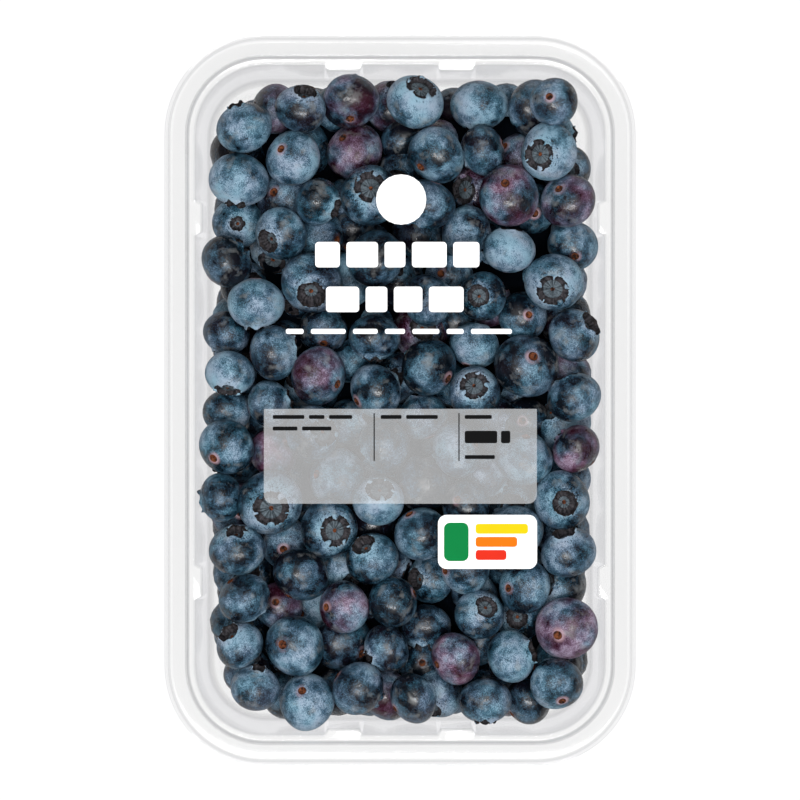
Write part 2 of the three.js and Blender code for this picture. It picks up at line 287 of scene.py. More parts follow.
@dataclass(frozen=True)
class BerrySkin:
    """A berry's skin under its bloom, mottled at several scales.

    It is nearly black where it is rubbed, deep blue under thin bloom and pale under thick bloom. Each of
    the three hues has these three colours in that order.
    """

    teal: tuple[Colour, Colour, Colour] = (srgb(3, 11, 19), srgb(46, 91, 112), srgb(126, 161, 179))
    violet: tuple[Colour, Colour, Colour] = (srgb(3, 11, 19), srgb(53, 90, 114), srgb(143, 162, 180))
    plum: tuple[Colour, Colour, Colour] = (srgb(48, 10, 24), srgb(98, 58, 84), srgb(160, 142, 162))
    # Pale beige smudges, partly the skin's own smudges and partly painted soft highlights.
    highlight_smudge: Colour = srgb(134, 136, 136)
    scar_edge: Colour = srgb(172, 140, 148)
    thin: float = 0.46
    ior: float = 1.42
    patches: NoiseLayer = NoiseLayer(0.12, 2.0, (0.36, 0.60, -0.54, 0.24))
    clouds: NoiseLayer = NoiseLayer(0.42, 2.0, (0.32, 0.68, -0.25, 0.20))
    mottles: NoiseLayer = NoiseLayer(1.3, 3.0, (0.34, 0.66, -0.15, 0.12))
    grains: NoiseLayer = NoiseLayer(4.6, 3.0, (0.36, 0.62, -0.50, 0.22))
    # Painted shade: noise that thins the bloom to near black in the crevices beside the crown.
    crevice_shades: NoiseLayer = NoiseLayer(2.0, 3.0, (0.52, 0.62, 0.0, -0.8))
    tints: NoiseLayer = NoiseLayer(0.17, 1.0, (0.38, 0.62, 0.0, 1.0))
    blushes: NoiseLayer = NoiseLayer(0.13, 3.0, (0.38, 0.60, 0.08, 1.0))
    highlight_smudges: NoiseLayer = NoiseLayer(0.3, 3.0, (0.56, 0.72, 0.0, 0.45))
    halos: NoiseLayer = NoiseLayer(0.11, 2.0, (0.46, 0.60, 0.08, 0.85))
    speck_scale: float = 2.1
    specks: Span = (0.10, 0.30, -0.26, 0.0)
    crown_bloom: Span = (0.1, 0.8, 0.0, 0.46)
    # Where the painted crevice shade starts and ends, by nearness to the crown.
    crevice_shade_start: Span = (0.50, 0.72, 0.0, 1.0)
    crevice_shade_end: Span = (0.90, 1.0, 1.0, 0.0)
    scar_ring: Span = (0.17, 0.29, 1.0, 0.0)
    thickness: Span = (0.05, 1.12, 0.0, 1.0)
    roughness: Span = (0.15, 0.75, 0.25, 0.60)
    fold_scale: float = 3.6
    folds: Relief = (0.7, 0.8)
    wave_scale: float = 0.4
    waves: Relief = (0.4, 0.4)
    pore_scale: float = 2.4
    pores: Relief = (0.25, 0.1)

    def broad(self, s: Shader, place: Socket) -> Socket:
        """The bloom's thickness before its fine detail, around 0 to 1."""
        parts = s.maths("ADD", s.layer(place, self.patches), s.layer(place, self.clouds))
        return s.maths("ADD", s.attribute("bloom"), parts)

    def bloom(self, s: Shader, place: Socket, broad: Socket) -> Socket:
        """Works out how thick the bloom is, thinned to near black in the crevices beside the crown as painted
        shade.

        Args:
            s: The material's shader.
            place: The place on the berry, in millimetres.
            broad: The thickness before its fine detail.

        Returns:
            The thickness, from 0 to 1.
        """
        cells = s.node("TexVoronoi", {"Vector": place, "Scale": self.speck_scale}).outputs["Distance"]
        rim = s.attribute("near_crown")
        # Painted shade: a ring beside the crown where the bloom is thinned to near black.
        shade_ring = s.maths("MULTIPLY", s.spread(rim, *self.crevice_shade_start), s.spread(rim, *self.crevice_shade_end))
        crevice_shade = s.maths("MULTIPLY", shade_ring, s.layer(place, self.crevice_shades))
        bloom = broad
        for part in (s.layer(place, self.mottles), s.layer(place, self.grains), s.spread(cells, *self.specks),
                     s.spread(rim, *self.crown_bloom), crevice_shade):
            bloom = s.maths("ADD", bloom, part)
        return s.spread(bloom, *self.thickness)

    def colour(self, s: Shader, place: Socket, bloom: Socket) -> Socket:
        """Works out the skin's colour.

        Args:
            s: The material's shader.
            place: The place on the berry, in millimetres.
            bloom: How thick the bloom is.

        Returns:
            The colour: teal to violet blue, plum in parts, pale beige smudges in places that are partly the
                skin's own smudges and partly painted soft highlights, pale round the scar.
        """
        stops = (0.0, self.thin, 1.0)
        teal, violet, plum = (s.ramp(bloom, stops, hue) for hue in (self.teal, self.violet, self.plum))
        skin = s.blend(s.layer(place, self.tints), teal, violet)
        skin = s.blend(s.maths("MULTIPLY", s.attribute("plum"), s.layer(place, self.blushes)), skin, plum)
        # Pale beige smudges, partly real and partly painted soft highlights.
        skin = s.blend(s.layer(place, self.highlight_smudges), skin, self.highlight_smudge)
        below = s.maths("LESS_THAN", s.axis_height(), 0.0)
        ring = s.spread(s.axis_distance(), *self.scar_ring)
        halo = s.maths("MULTIPLY", ring, s.layer(place, self.halos))
        return s.blend(s.maths("MULTIPLY", below, halo), skin, self.scar_edge)

    def relief(self, s: Shader, place: Socket) -> Socket:
        """The normal, with slow waves, fine pores, and folds that run out from the crown."""
        fold = s.maths("MULTIPLY", s.noise(s.spoke(), self.fold_scale, 1.0), s.attribute("near_crown"))
        folds = s.bump(fold, *self.folds)
        waves = s.bump(s.noise(place, self.wave_scale, 1.0), *self.waves, folds)
        return s.bump(s.noise(place, self.pore_scale, 1.0), *self.pores, waves)

    def material(self) -> Material:
        """Builds the skin, which reads the attributes berry_place, berry_unit, bloom, plum and near_crown."""
        s = Shader(bpy.data.materials.new("berry skin under bloom"))
        place = s.attribute("berry_place", "Vector")
        broad = self.broad(s, place)
        return s.principled({
            "Base Color": self.colour(s, place, self.bloom(s, place, broad)),
            "Roughness": s.spread(broad, *self.roughness),
            "Normal": self.relief(s, place),
            "IOR": self.ior,
        })


@dataclass(frozen=True)
class DriedSkin:
    """The dry, ridged skin inside a crown, the corky scars of the stem and the style, and the near-black
    painted shade of the heap's core.
    """

    name: str
    dark: Colour
    pale: Colour
    scale: float
    roughness: float
    ridges: float = 0.0
    gloss: float = 0.2
    ridge_scale: float = 5.0
    contrast: Span = (0.38, 0.62, 0.0, 1.0)
    relief: Relief = (0.5, 0.15)

    def material(self) -> Material:
        """Builds the material, mottled between its colours, with ridges out from the berry's axis."""
        s = Shader(bpy.data.materials.new(self.name))
        mottle = s.noise(s.attribute("berry_place", "Vector"), self.scale, 3.0)
        ridge = s.noise(s.spoke(), self.ridge_scale, 1.0)
        share = s.spread(s.blend(self.ridges, mottle, ridge), *self.contrast)
        return s.principled({
            "Base Color": s.blend(share, self.dark, self.pale),
            "Roughness": self.roughness,
            "Specular IOR Level": self.gloss,
            "Normal": s.bump(share, *self.relief),
        })


@dataclass(frozen=True)
class ClearPlastic:
    """Clear thin plastic: it lets light straight through, greyer in its bends and steps, and gleams."""

    name: str
    face_on: Colour = srgb(251, 251, 251)
    bent: Colour = srgb(253, 253, 253)
    slanted: Colour = srgb(248, 248, 248)
    steep: Colour = srgb(233, 233, 234)
    edge_on: Colour = srgb(248, 248, 249)
    ior: float = 1.36
    most_gleam: float = 0.09
    roughness: float = 0.08
    gleam: Colour = srgb(251, 251, 251)
    slant_bias: float = 0.3
    slants: tuple[float, ...] = (0.0, 0.006, 0.03, 0.10, 0.36, 0.56, 0.74)
    ripple_scale: float = 60.0
    ripple: Relief = (0.06, 0.3)

    def material(self) -> Material:
        """Builds the material, a mix of see-through and gloss by the slant of the surface."""
        s = Shader(bpy.data.materials.new(self.name))
        slant = s.node("LayerWeight", {"Blend": self.slant_bias}).outputs["Facing"]
        tints = (self.face_on, self.bent, self.bent, self.slanted, self.steep, self.steep, self.edge_on)
        through = s.node("BsdfTransparent", {"Color": s.ramp(slant, self.slants, tints)})
        gloss = s.node("BsdfAnisotropic", {
            "Color": self.gleam,
            "Roughness": self.roughness,
            "Normal": s.bump(s.noise(s.object_place(), self.ripple_scale, 1.0), *self.ripple),
        })
        share = s.maths("MINIMUM", s.node("Fresnel", {"IOR": self.ior}).outputs[0], self.most_gleam)
        return s.surface(s.node("MixShader", {0: share, 1: through.outputs[0], 2: gloss.outputs[0]}))


@dataclass(frozen=True)
class Ink:
    """Ink on the film, dense or thin, with the faint unevenness of print."""

    name: str
    colour: Colour
    cover: float = 1.0
    roughness: float = 0.55
    gloss: float = 0.05
    uneven: NoiseLayer = NoiseLayer(260.0, 2.0, (0.3, 0.7, 0.96, 1.0))

    def material(self) -> Material:
        """Builds the ink, which lets what is under it through where its cover is thin."""
        s = Shader(bpy.data.materials.new(self.name))
        return s.principled({
            "Base Color": s.blend(s.layer(s.object_place(), self.uneven), (0.0, 0.0, 0.0, 1.0), self.colour),
            "Roughness": self.roughness,
            "Specular IOR Level": self.gloss,
            "Alpha": self.cover,
        })


class Crown(Enum):
    """The kinds of crown at a berry's blossom end."""

    STAR = "star"
    CUP = "cup"
    FOLDED = "folded"
    WORN = "worn"
    SMALL = "small"


class Tone(Enum):
    """How much bloom a berry has, and how plum-coloured it is, each from 0 to 1."""

    PALE = (0.90, 0.06)
    BLUE = (0.71, 0.05)
    SLATE = (0.50, 0.08)
    PLUM = (0.62, 0.85)
    INK = (0.24, 0.12)


class Part(IntEnum):
    """The parts of a berry, each with a material of its own, by the material's index."""

    SKIN = 0
    RECESS = 1
    DISC = 2
    SCAR = 3
    LOBE = 4


STAR, CUP, FOLDED, WORN, SMALL = Crown
PALE, BLUE, SLATE, PLUM, INK = Tone


@dataclass(frozen=True)
class BerryMould:
    """One shape of berry, turned from an outline, as a unit berry of radius 1 with its crown up.

    Five notches and five lobes make the crown, round a recess with a ridged disc in it. The stem's scar is
    at the other end. The mouth is how far out the notches reach, and the throat how far in the lobes do.
    """

    kind: Crown
    mouth: float
    throat: float
    tip: float
    rise: float
    recess: float
    disc: float
    lobes: tuple[float, float, float, float, float]
    steps: int = 40
    bands: int = 15
    flatness: float = 0.86
    scar: float = 0.15
    ragged: float = 0.024
    collar: float = 0.0
    sharpness: float = 1.0
    style: float = 0.06
    recess_depth: float = 0.022
    lobe_depth: float = 0.04
    ring_slack: float = 0.002
    weld: float = 0.0005

    def skin(self, radius: float) -> float:
        """The height of the skin at a distance from the axis."""
        return self.flatness * math.sqrt(1 - radius**2)

    def rim(self) -> list[tuple[tuple[float, float], tuple[float, float]]]:
        """The crown's rings from outside in, as radius and height, first in a notch and then on a lobe."""
        m, t, tip = self.mouth, self.throat, self.tip
        edge, crest = self.skin(m), self.skin(tip) + self.rise
        floor = edge - self.recess
        return [
            ((m + 0.030, self.skin(m + 0.030)), (tip - 0.010, self.skin(tip) - 0.015)),
            ((m + 0.005, edge - 0.008 + self.collar), (tip, crest)),
            ((m - 0.020, edge - 0.030 + self.collar), (tip - 0.035, crest + 0.015)),
            ((m - 0.040, edge - 0.6 * self.recess), (t, self.skin(t) + 0.45 * self.rise)),
            ((m - 0.060, floor + 0.01), (t - 0.015, floor + 0.02)),
        ]

    def outline(self) -> list[tuple[float, float]]:
        """The berry's half section through the notches, from the stem's scar to the middle of the crown."""
        foot, edge = -self.flatness, self.scar
        scar = [(share * edge, foot + up)
                for share, up in ((0.0, 0.10), (0.45, 0.09), (0.85, 0.06), (1.0, -0.002))]
        start, end = math.asin(edge + 0.05), math.pi - math.asin(self.mouth + 0.08)
        angles = [start + (end - start) * i / self.bands for i in range(self.bands + 1)]
        body = [(math.sin(a), -self.flatness * math.cos(a)) for a in angles]
        floor = self.skin(self.mouth) - self.recess
        disc = [(self.disc + out, floor + up) for out, up in ((0.03, -0.01), (0.0, 0.035))]
        disc.append((0.75 * self.disc, floor + 0.03))
        style = [(out, floor + up) for out, up in ((0.08, 0.02), (0.07, 0.05), (0.045, 0.045), (0.03, 0.02))]
        return scar + body + [notch for notch, _ in self.rim()] + disc + style + [(0.0, floor + 0.015)]

    def turn(self) -> Piece:
        """Pulls one vertex along the outline and turns it round the upright axis, into a closed body."""
        points = [Vector((radius, 0.0, height)) for radius, height in self.outline()]
        deselect_all()
        bpy.ops.mesh.primitive_plane_add(size=0.1, location=(0.0, 0.0, 0.0))
        piece = bpy.context.object
        with editing(piece):
            bpy.ops.mesh.merge(type="CENTER")
            bpy.ops.transform.translate(value=points[0])
            for before, after in zip(points, points[1:]):
                bpy.ops.mesh.extrude_vertices_move(TRANSFORM_OT_translate={"value": after - before})
            bpy.ops.mesh.select_all(action="SELECT")
            bpy.ops.mesh.spin(steps=self.steps, angle=math.tau, center=(0, 0, 0), axis=(0, 0, 1))
            bpy.ops.mesh.select_all(action="SELECT")
            bpy.ops.mesh.remove_doubles(threshold=self.weld)
            bpy.ops.mesh.normals_make_consistent(inside=False)
        return piece

    def raise_lobes(self, piece: Piece) -> None:
        """Brings the crown's rings from the notch's form to the lobes' form, lobe by lobe.

        Args:
            piece: The turned berry.
        """
        half = self.steps // 10
        with editing(piece):
            for lobe, length in enumerate(self.lobes):
                middle = lobe * 2 * half
                for away in range(half):
                    share = length * (0.5 + 0.5 * math.cos(away / half * math.pi)) ** self.sharpness
                    angles = {(middle + away) % self.steps, (middle - away) % self.steps}
                    self.pull(piece, angles, share)
            low = self.skin(self.mouth) - 0.5 * self.recess
            inner, outer = self.disc + 0.03, self.mouth + 0.04
            pick_vertices(piece, lambda p: p.z > low and inner < math.hypot(p.x, p.y) < outer)
            bpy.ops.transform.vertex_random(offset=self.ragged, seed=len(self.kind.value))

    def pull(self, piece: Piece, angles: set[int], share: float) -> None:
        """Pulls the crown's rings at some angles to a share of a lobe's full form.

        Args:
            piece: The berry, in edit mode.
            angles: The steps round the axis that are pulled.
            share: How much of a lobe is there, from 0 in a notch to 1 in a lobe's middle.
        """
        for (radius, height), (lobe_radius, lobe_height) in self.rim():
            def on_ring(place: Vector) -> bool:
                if max(abs(math.hypot(place.x, place.y) - radius), abs(place.z - height)) > self.ring_slack:
                    return False
                return round(math.atan2(place.y, place.x) / math.tau * self.steps) % self.steps in angles

            pick_vertices(piece, on_ring)
            scale = 1 + (lobe_radius / radius - 1) * share
            bpy.ops.transform.resize(value=(scale, scale, 1), center_override=(0, 0, 0))
            bpy.ops.transform.translate(value=(0, 0, (lobe_height - height) * share))

    def mark_faces(self, piece: Piece) -> None:
        """Gives the faces of the recess, the disc, the scars and the lobes' insides their materials."""
        for face in piece.data.polygons:
            x, y, z = face.center
            out = math.hypot(x, y)
            if z > 0 and out < self.mouth and z < self.skin(out) - self.recess_depth:
                face.material_index = Part.RECESS if out > self.disc else Part.DISC
            if out < (self.style if z > 0 else self.scar) and abs(z) > 0.3:
                face.material_index = Part.SCAR
            inward = face.normal.x * x + face.normal.y * y < 0
            if inward and self.disc < out < self.mouth + 0.02 and z > self.skin(out) - self.lobe_depth:
                face.material_index = Part.LOBE

    def unit(self) -> Piece:
        """Makes the finished unit berry, with its crown up."""
        piece = self.turn()
        self.raise_lobes(piece)
        self.mark_faces(piece)
        return piece


@dataclass(frozen=True)
class TopBerry:
    """A berry on top that can be told apart: its place, width, crown's heading and lean, crown and tone."""

    x: float
    y: float
    width: float
    heading: float
    lean: float
    crown: Crown
    tone: Tone


TOP_BERRIES = [TopBerry(*row) for row in (
    (-40.2, 70.9, 14.7, 112, 74, SMALL, BLUE),
    (-41.8, 57.1, 16.4, 262, 80, FOLDED, PALE),
    (-27.8, 62.3, 14.8, 322, 141, CUP, PALE),
    (-24.9, 75.7, 13.4, 75, 52, CUP, SLATE),
    (-14.0, 77.4, 15.0, 90, 134, CUP, PLUM),
    (3.9, 77.4, 15.4, 65, 48, STAR, PALE),
    (21.5, 76.4, 15.3, 268, 84, FOLDED, PALE),
    (39.4, 75.1, 12.9, 315, 160, CUP, BLUE),
    (39.2, 64.9, 15.1, 197, 30, STAR, PALE),
    (9.0, 62.2, 15.6, 40, 128, WORN, BLUE),
    (-7.3, 53.7, 16.0, 85, 20, STAR, PALE),
    (8.6, 50.8, 14.5, 250, 96, CUP, SLATE),
    (27.8, 54.0, 16.5, 290, 152, CUP, PLUM),
    (43.3, 52.9, 14.8, 310, 140, CUP, PLUM),
    (-22.2, 50.6, 12.8, 340, 72, CUP, BLUE),
    (-29.9, 43.3, 14.2, 210, 44, CUP, BLUE),
    (27.5, 39.7, 13.9, 84, 84, WORN, PALE),
    (-43.7, 34.7, 14.6, 44, 86, FOLDED, SLATE),
    (-6.5, 36.8, 15.0, 315, 158, CUP, SLATE),
    (-22.6, 30.7, 16.6, 270, 27, CUP, SLATE),
    (39.3, 30.9, 15.6, 263, 22, STAR, BLUE),
    (21.3, 27.1, 12.9, 180, 12, WORN, BLUE),
    (-38.7, 25.4, 15.0, 270, 92, FOLDED, PALE),
    (7.0, 25.4, 14.0, 20, 110, CUP, SLATE),
    (45.2, 16.9, 14.5, 35, 64, CUP, BLUE),
    (-7.3, 15.6, 13.6, 265, 80, FOLDED, SLATE),
    (-32.4, 12.8, 14.7, 10, 90, CUP, BLUE),
    (33.1, 9.6, 17.0, 235, 156, STAR, SLATE),
    (7.4, 8.6, 15.6, 150, 120, SMALL, SLATE),
    (-22.4, 6.1, 15.5, 158, 124, CUP, PLUM),
    (-43.7, 6.9, 13.3, 262, 70, STAR, PALE),
    (19.7, 2.1, 13.7, 95, 18, STAR, BLUE),
    (44.9, 0.5, 14.4, 110, 88, WORN, SLATE),
    (-6.0, 2.0, 14.8, 30, 116, CUP, BLUE),
    (-44.9, -12.7, 14.8, 42, 136, CUP, BLUE),
    (15.6, -13.2, 14.2, 200, 118, SMALL, BLUE),
    (44.9, -13.2, 13.4, 140, 96, SMALL, PLUM),
    (-37.1, -26.7, 17.1, 280, 15, STAR, BLUE),
    (-6.7, -25.8, 13.8, 82, 36, STAR, PALE),
    (41.5, -26.5, 15.3, 320, 9, CUP, BLUE),
    (-17.2, -34.6, 15.5, 343, 19, STAR, SLATE),
    (4.6, -34.4, 14.9, 300, 112, WORN, BLUE),
    (43.6, -38.7, 14.6, 104, 62, CUP, BLUE),
    (-41.2, -39.4, 15.0, 92, 56, FOLDED, SLATE),
    (-25.0, -44.9, 15.2, 60, 100, SMALL, INK),
    (-6.4, -42.7, 14.2, 122, 46, CUP, SLATE),
    (16.9, -45.9, 14.2, 10, 124, CUP, BLUE),
    (32.4, -48.4, 14.4, 5, 134, CUP, BLUE),
    (19.7, -54.0, 13.4, 48, 34, WORN, SLATE),
    (-2.4, -51.4, 14.0, 200, 104, SMALL, SLATE),
    (-15.3, -55.5, 14.2, 0, 130, CUP, PLUM),
    (43.3, -59.0, 16.4, 36, 153, CUP, PLUM),
    (-41.6, -63.3, 12.9, 130, 54, CUP, BLUE),
    (-27.5, -64.0, 16.1, 354, 152, CUP, PALE),
    (-4.0, -63.9, 13.2, 214, 76, FOLDED, SLATE),
    (14.8, -65.6, 14.1, 20, 118, WORN, PLUM),
    (28.7, -66.6, 14.2, 15, 78, CUP, BLUE),
    (40.5, -73.5, 14.2, 107, 130, CUP, BLUE),
    (-37.6, -74.2, 13.2, 80, 68, SMALL, SLATE),
    (-23.7, -78.6, 15.3, 290, 150, CUP, PALE),
    (-10.9, -75.2, 14.6, 330, 98, SMALL, BLUE),
    (3.7, -77.5, 13.8, 30, 104, WORN, SLATE),
    (22.4, -78.2, 14.1, 270, 82, FOLDED, BLUE),
    (-12.7, 65.6, 15.0, 312, 132, CUP, PLUM),
    (22.1, 63.8, 13.3, 200, 100, CUP, SLATE),
    (45.1, 40.3, 13.4, 100, 152, CUP, BLUE),
    (31.4, 21.5, 13.2, 190, 162, CUP, SLATE),
    (19.2, 14.2, 13.4, 70, 108, WORN, BLUE),
    (-44.6, 18.3, 12.8, 250, 94, SMALL, SLATE),
    (-33.9, -1.1, 13.0, 15, 84, CUP, SLATE),
    (-44.7, -2.9, 12.9, 280, 60, FOLDED, BLUE),
    (-33.7, -14.3, 13.4, 210, 130, CUP, PLUM),
    (-46.0, -25.6, 12.8, 190, 100, CUP, SLATE),
    (-40.7, -50.8, 14.0, 310, 106, WORN, SLATE),
    (6.0, -59.7, 14.0, 265, 70, FOLDED, INK),
    (32.6, -78.0, 13.0, 40, 104, SMALL, SLATE),
    (-31.9, 74.4, 13.2, 350, 112, CUP, PLUM),
)]
LOWER_TOP_BERRIES = 14


@dataclass(frozen=True)
class TrayShape:
    """The tray's driving sizes in millimetres, which its mesh and the heap's room both follow."""

    width: float
    length: float
    flange_top: float
    corner: float = 26.0
    wall: float = 0.5
    panel_top: float = 1.9
    foot_inset: float = 10.6
    foot_height: float = 4.4
    top_inset: float = 8.3
    long_rib: tuple[float, float, float] = (47.3, 3.75, 1.7)
    short_rib: tuple[float, float, float] = (14.7, 4.15, 1.45)
    rib_chamfer: float = 0.9
    ledge_drop: float = 2.5
    wall_drop: float = 0.5

    @property
    def ledge_top(self) -> float:
        """The height of the ledge inside the flange."""
        return self.flange_top - self.ledge_drop

    @property
    def top_height(self) -> float:
        """The height at which the wall starts, under the ledge."""
        return self.ledge_top - self.wall_drop

    def wall_share(self, height: Array) -> Array:
        """How far up the wall a height is, from 0 at its foot to 1 at its top."""
        return np.clip((height - self.foot_height) / (self.top_height - self.foot_height), 0.0, 1.0)

    def wall_inset(self, height: Array) -> Array:
        """How far in from the outline the wall's inner face is at a height."""
        return self.foot_inset + (self.top_inset - self.foot_inset) * self.wall_share(height)


@dataclass
class Heap:
    """The berries, started in layers under those on top, and settled in the tray. Lengths are millimetres."""

    tray: TrayShape
    smallest: float = 12.7
    spread: float = 3.3
    flatness: float = 0.87
    clearance: float = 0.35
    layers: int = 5
    layer_pitch: float = 9.4
    first_layer: float = 9.6
    pitch: float = 15.4
    row_share: float = 0.87
    stagger: float = 0.25
    jitter: float = 3.2
    top_start: float = 50.0
    low_start: float = 43.0
    room: float = 11.5
    settle_steps: int = 500
    fall: float = 0.1
    push: float = 0.35
    hold: float = 0.12
    low_wall_gap: float = 1.8
    low_corner_gap: float = 3.4
    head_gap: float = 2.2
    rib_softness: float = 0.6
    seed: int = 20817
    multiplier: int = 16807
    modulus: int = 2147483647
    place: Array = field(init=False)
    width: Array = field(init=False)
    axis: Array = field(init=False)

    def draws(self) -> Iterator[float]:
        """Draws numbers between 0 and 1, the same ones each time."""
        state = self.seed
        while True:
            state = state * self.multiplier % self.modulus
            yield state / self.modulus

    @staticmethod
    def crown_axis(heading: float, lean: float) -> tuple[float, float, float]:
        """The way a crown points, from its heading and its lean in degrees."""
        h, l = math.radians(heading), math.radians(lean)
        return (math.sin(l) * math.cos(h), math.sin(l) * math.sin(h), math.cos(l))

    def start(self) -> None:
        """Puts the berries on top where they show, and staggered layers below and between them."""
        draw = self.draws()
        tray = self.tray
        highest = len(TOP_BERRIES) - LOWER_TOP_BERRIES
        rows = [(b.x, b.y, self.top_start if i < highest else self.low_start, b.width,
                 *self.crown_axis(b.heading, b.lean)) for i, b in enumerate(TOP_BERRIES)]
        tops = [row[:3] for row in rows]
        row_pitch = self.pitch * self.row_share
        columns = math.floor(tray.width / self.pitch / 2)
        lines = math.floor(tray.length / row_pitch / 2)
        for layer in range(self.layers):
            z = self.first_layer + layer * self.layer_pitch
            for line in range(-lines, lines + 1):
                for column in range(-columns, columns + 1):
                    stagger = self.stagger if (line + layer) % 2 == 0 else -self.stagger
                    x = (column + stagger) * self.pitch + (next(draw) - 0.5) * self.jitter
                    y = (line + (layer % 2) / 3) * row_pitch + (next(draw) - 0.5) * self.jitter
                    width = self.smallest + self.spread * next(draw)
                    axis = self.crown_axis(360 * next(draw), 180 * next(draw))
                    inset = float(tray.wall_inset(np.float64(z))) + width / 3
                    outside = abs(x) > tray.width / 2 - inset or abs(y) > tray.length / 2 - inset
                    crowded = any(t[2] - z < self.layer_pitch and math.hypot(t[0] - x, t[1] - y) < self.room
                                  for t in tops)
                    if not outside and not crowded:
                        rows.append((x, y, z, width, *axis))
        made = np.array(rows)
        self.place, self.width, self.axis = made[:, :3].copy(), made[:, 3].copy(), made[:, 4:7].copy()

    def reach(self, index: Array, direction: Array) -> Array:
        """How far flattened berries reach from their middles.

        Args:
            index: Which berries.
            direction: One direction of length 1 for each.

        Returns:
            The reach of each.
        """
        along = np.einsum("ij,ij->i", self.axis[index], direction)
        return self.width[index] / 2 * np.sqrt(1 - (1 - self.flatness**2) * along * along)

    def rib_push(self, rib: tuple[float, float, float], along: Array, radius: Array) -> Array:
        """How far the nearest rib holds each berry off its wall."""
        centre, half_length, depth = rib
        soft = self.rib_softness * radius
        share = np.clip((half_length + soft - np.abs(np.abs(along) - centre)) / soft, 0.0, 1.0)
        return depth * share * self.tray.wall_share(self.place[:, 2])

    def keep_inside(self) -> None:
        """Moves the berries back inside the tray, the ones below the top off its walls and corners."""
        tray, p = self.tray, self.place
        every = np.arange(len(p))
        is_low = every >= len(TOP_BERRIES)
        reach = [self.reach(every, np.tile(np.eye(3)[i], (len(p), 1))) for i in range(3)]
        floor, ceiling = tray.panel_top + self.clearance, tray.flange_top - self.head_gap
        p[:, 2] = np.clip(p[:, 2], floor + reach[2], ceiling - reach[2])
        inset = tray.wall_inset(p[:, 2]) + self.clearance + np.where(is_low, self.low_wall_gap, 0.0)
        half_x = tray.width / 2 - inset - self.rib_push(tray.long_rib, p[:, 1], reach[1])
        half_y = tray.length / 2 - inset - self.rib_push(tray.short_rib, p[:, 0], reach[0])
        p[:, 0] = np.clip(p[:, 0], reach[0] - half_x, half_x - reach[0])
        p[:, 1] = np.clip(p[:, 1], reach[1] - half_y, half_y - reach[1])
        corner = np.array([tray.width / 2, tray.length / 2]) - tray.corner
        over = np.abs(p[:, :2]) - corner
        sign = np.sign(p[:, :2])
        out = np.maximum(np.hypot(over[:, 0], over[:, 1]), 1e-9)
        outward = np.column_stack([sign * over / out[:, None], np.zeros(len(p))])
        limit = tray.corner - inset - np.where(is_low, self.low_corner_gap, 0.0) - self.reach(every, outward)
        far = (over > 0).all(axis=1) & (out > limit)
        p[far, :2] = (sign * (corner + over * (limit / out)[:, None]))[far]

    def settle(self) -> None:
        """Lets the berries sink, pushes overlapping ones apart, and holds those on top near their place."""
        count = len(self.place)
        first, second = np.triu_indices(count, 1)
        home = np.array([(b.x, b.y) for b in TOP_BERRIES])
        for step in range(self.settle_steps):
            away = self.place[first] - self.place[second]
            apart = np.sqrt(np.einsum("ij,ij->i", away, away))
            close = apart < (self.width[first] + self.width[second]) / 2
            i, j, way, gap = first[close], second[close], away[close], apart[close]
            way = way / gap[:, None]
            overlap = np.maximum(self.reach(i, way) + self.reach(j, way) - gap, 0.0)
            shove = way * (self.push * overlap)[:, None]
            for part, along in zip(shove.T, self.place.T):
                along += np.bincount(i, part, count) - np.bincount(j, part, count)
            self.place[:, 2] -= self.fall * (1 - step / self.settle_steps)
            held = self.place[: len(home), :2]
            held += self.hold * (home - held)
            self.keep_inside()


@dataclass
class GapFiller:
    """Small berries that have dropped into the gaps between those on top."""

    heap: Heap
    margin: float = 19.0
    step: float = 1.5
    reach_past: float = 1.3
    deep: float = 35.0
    height: float = 35.0
    width: float = 12.8
    seed: int = 61

    def cover(self, spots: Array, place: Array, radius: Array) -> Array:
        """How high the berries stand at some spots, each berry taken a little wider than it is."""
        away = np.linalg.norm(spots[:, None, :] - place[None, :, :2], axis=2)
        wide = radius[None, :] + self.reach_past
        height = place[None, :, 2] + np.sqrt(np.maximum(wide**2 - away**2, 0.0))
        return np.where(away < wide, height, 0.0).max(axis=1)

    def fill(self) -> None:
        """Adds a berry at the deepest spot until no spot is deep."""
        heap, tray = self.heap, self.heap.tray
        half = np.array([tray.width / 2, tray.length / 2]) - self.margin
        grid = np.meshgrid(np.arange(-half[0], half[0], self.step), np.arange(-half[1], half[1], self.step))
        spots = np.column_stack([grid[0].ravel(), grid[1].ravel()])
        rng = np.random.default_rng(self.seed)
        cover = self.cover(spots, heap.place, heap.width / 2)
        while cover.min() < self.deep:
            spot = spots[cover.argmin()]
            place = np.array([[spot[0], spot[1], self.height]])
            axis = heap.crown_axis(rng.uniform(0, 360), rng.uniform(0, 180))
            heap.place = np.vstack([heap.place, place])
            heap.width = np.append(heap.width, self.width)
            heap.axis = np.vstack([heap.axis, axis])
            cover = np.maximum(cover, self.cover(spots, place, np.array([self.width / 2])))


